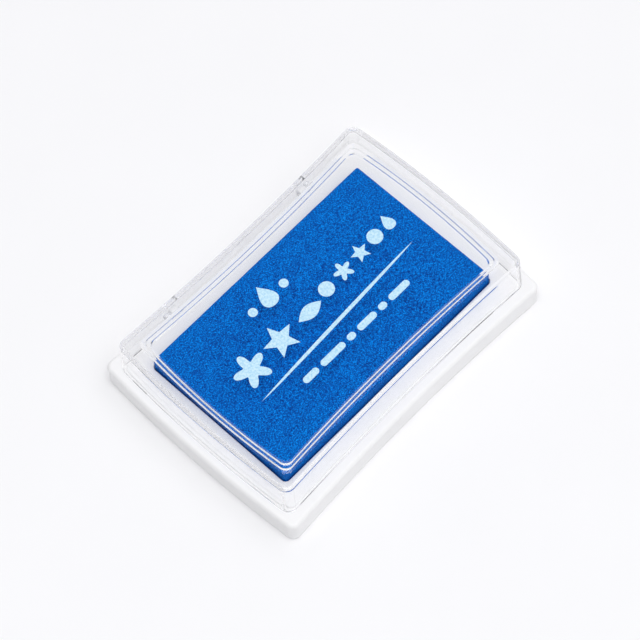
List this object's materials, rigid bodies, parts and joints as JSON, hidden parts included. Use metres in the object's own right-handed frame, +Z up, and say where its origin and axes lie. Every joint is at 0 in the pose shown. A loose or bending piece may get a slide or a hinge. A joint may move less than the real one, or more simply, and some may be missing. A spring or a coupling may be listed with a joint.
{
  "type": "ink pad",
  "caption": "Rectangular stamping ink pad: white moulded tray, raised cloth-covered pad, clear box lid hinged along one long side.",
  "frame": {"origin": "middle of the tray's flat underside, which stands on the table", "axes": "+X along the long side, +Y towards the hinged long side, +Z up through the pad"},
  "size_m": [0.0744, 0.0526, 0.0164],
  "materials": {
    "white_moulding": "injection moulded, satin gloss",
    "clear_moulding": "clear injection moulded, polished",
    "inked_cloth": "fine woven cloth wet with blue ink",
    "soaked_foam": "open cell foam soaked with ink",
    "soaked_felt": "felt soaked with ink",
    "tape": "double sided adhesive film"
  },
  "bodies": {
    "base": {"base_tray": "white_moulding", "pad_cover": "inked_cloth", "foam_core": "soaked_foam", "ink_felt": "soaked_felt", "adhesive_sheet": "tape"},
    "lid": {"clear_lid": "clear_moulding"}
  },
  "joints": [
    {"name": "lid_hinge", "type": "hinge", "parent": "base", "child": "lid", "pos_m": [0, 0.0241, 0.0075], "axis": [-1, 0, 0], "range_deg": [0, 125]}
  ]
}
